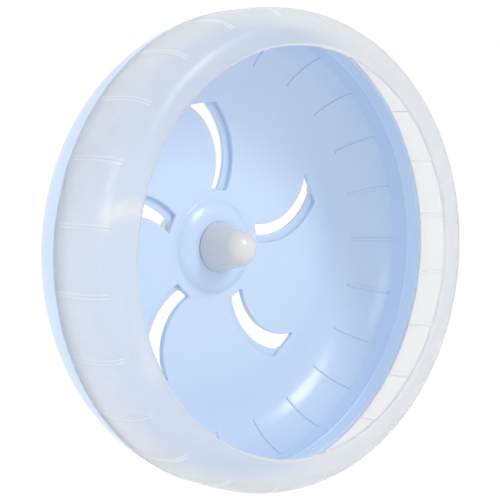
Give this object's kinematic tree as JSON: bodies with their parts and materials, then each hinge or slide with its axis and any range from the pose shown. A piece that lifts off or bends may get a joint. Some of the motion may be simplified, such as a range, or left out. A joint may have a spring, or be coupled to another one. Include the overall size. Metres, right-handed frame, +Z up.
{
  "type": "pet exercise wheel",
  "caption": "Dished exercise wheel with pinwheel slots, a milky front ring and a domed cap, on a ball bearing with a cage clamp behind.",
  "frame": {"origin": "on the axle, on the rubber face that meets the cage wall", "axes": "+Z up, the axle along Y, the wheel's open front towards -Y, +X to the right as seen from the front"},
  "size_m": [0.17, 0.0827, 0.17],
  "materials": {
    "blue_shell": "smooth moulded, light blue",
    "milky_ring": "frosted, lets light through",
    "pale_plastic": "smooth moulded, pale grey",
    "bearing_steel": "ground and polished",
    "zinc_steel": "zinc plated",
    "cage_plastic": "moulded nylon",
    "grey_rubber": "matt"
  },
  "bodies": {
    "mount": {"axle_bolt": "zinc_steel", "axle_washer": "zinc_steel", "bearing_inner_race": "bearing_steel", "spacer_bush": "zinc_steel", "mount_flange": "pale_plastic", "jam_nut": "zinc_steel", "flange_pad": "grey_rubber"},
    "wheel": {"rear_shell": "blue_shell", "front_ring": "milky_ring", "hub_cap": "pale_plastic", "bearing_outer_race": "bearing_steel", "bearing_shield_front": "zinc_steel", "bearing_shield_rear": "zinc_steel", "bearing_circlip": "zinc_steel"},
    "ball_set": {"bearing_cage": "cage_plastic", "bearing_ball_01": "bearing_steel", "bearing_ball_02": "bearing_steel", "bearing_ball_03": "bearing_steel", "bearing_ball_04": "bearing_steel", "bearing_ball_05": "bearing_steel", "bearing_ball_06": "bearing_steel", "bearing_ball_07": "bearing_steel"},
    "rear_clamp": {"pressure_disc": "pale_plastic", "disc_pad": "grey_rubber"},
    "wing_nut_body": {"wing_nut": "pale_plastic"}
  },
  "joints": [
    {"name": "wheel_spin", "type": "hinge", "parent": "mount", "child": "wheel", "pos_m": [0, -0.0121, 0], "axis": [0, 1, 0], "continuous": true},
    {"name": "ball_set_spin", "type": "hinge", "parent": "mount", "child": "ball_set", "pos_m": [0, -0.0121, 0], "axis": [0, 1, 0], "continuous": true},
    {"name": "clamp_slide", "type": "slide", "parent": "mount", "child": "rear_clamp", "axis": [0, 1, 0], "range_m": [-0.0014, 0.0034]},
    {"name": "wing_nut_turn", "type": "hinge", "parent": "rear_clamp", "child": "wing_nut_body", "pos_m": [0, 0.0067, 0], "axis": [0, 1, 0], "range_deg": [-505, 1225]}
  ],
  "couplings": [
    {"joint": "ball_set_spin", "follows": "wheel_spin", "ratio": 0.62},
    {"joint": "wing_nut_turn", "follows": "clamp_slide", "rad_per_m": 6283.2}
  ]
}
